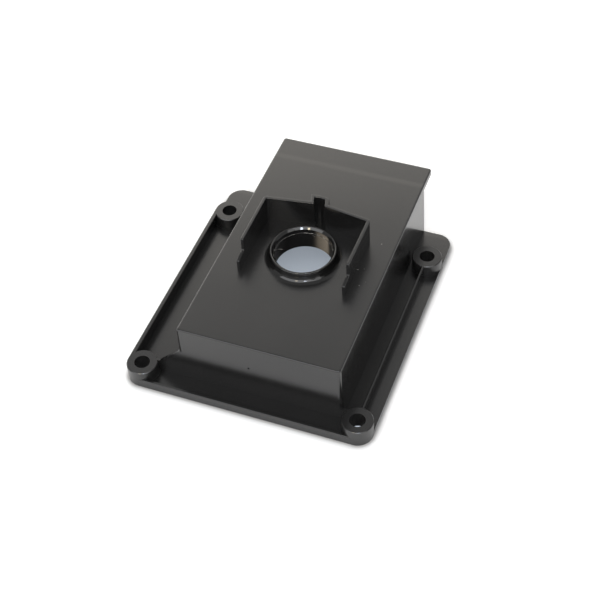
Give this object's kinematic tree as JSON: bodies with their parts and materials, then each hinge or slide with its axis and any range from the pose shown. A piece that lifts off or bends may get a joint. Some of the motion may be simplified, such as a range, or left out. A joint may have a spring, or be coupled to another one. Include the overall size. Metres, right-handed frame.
{
  "type": "electrical box cover",
  "caption": "Moulded plastic cover for an electrical box: screw flange, off-centre hollow housing, and a round cable entry in its top under a U-shaped drip hood.",
  "frame": {"origin": "midway between the four screw holes, on the flange's mounting face", "axes": "+Z away from the mounting face, out through the cable entry; -Y towards the open side of the drip hood; +X to the side on which the housing stands nearer the flange's edge"},
  "size_m": [0.0888, 0.1089, 0.0362],
  "materials": {
    "plastic": "black moulded plastic with an even satin sheen"
  },
  "bodies": {
    "root": {"box_cover": "plastic"}
  },
  "joints": []
}
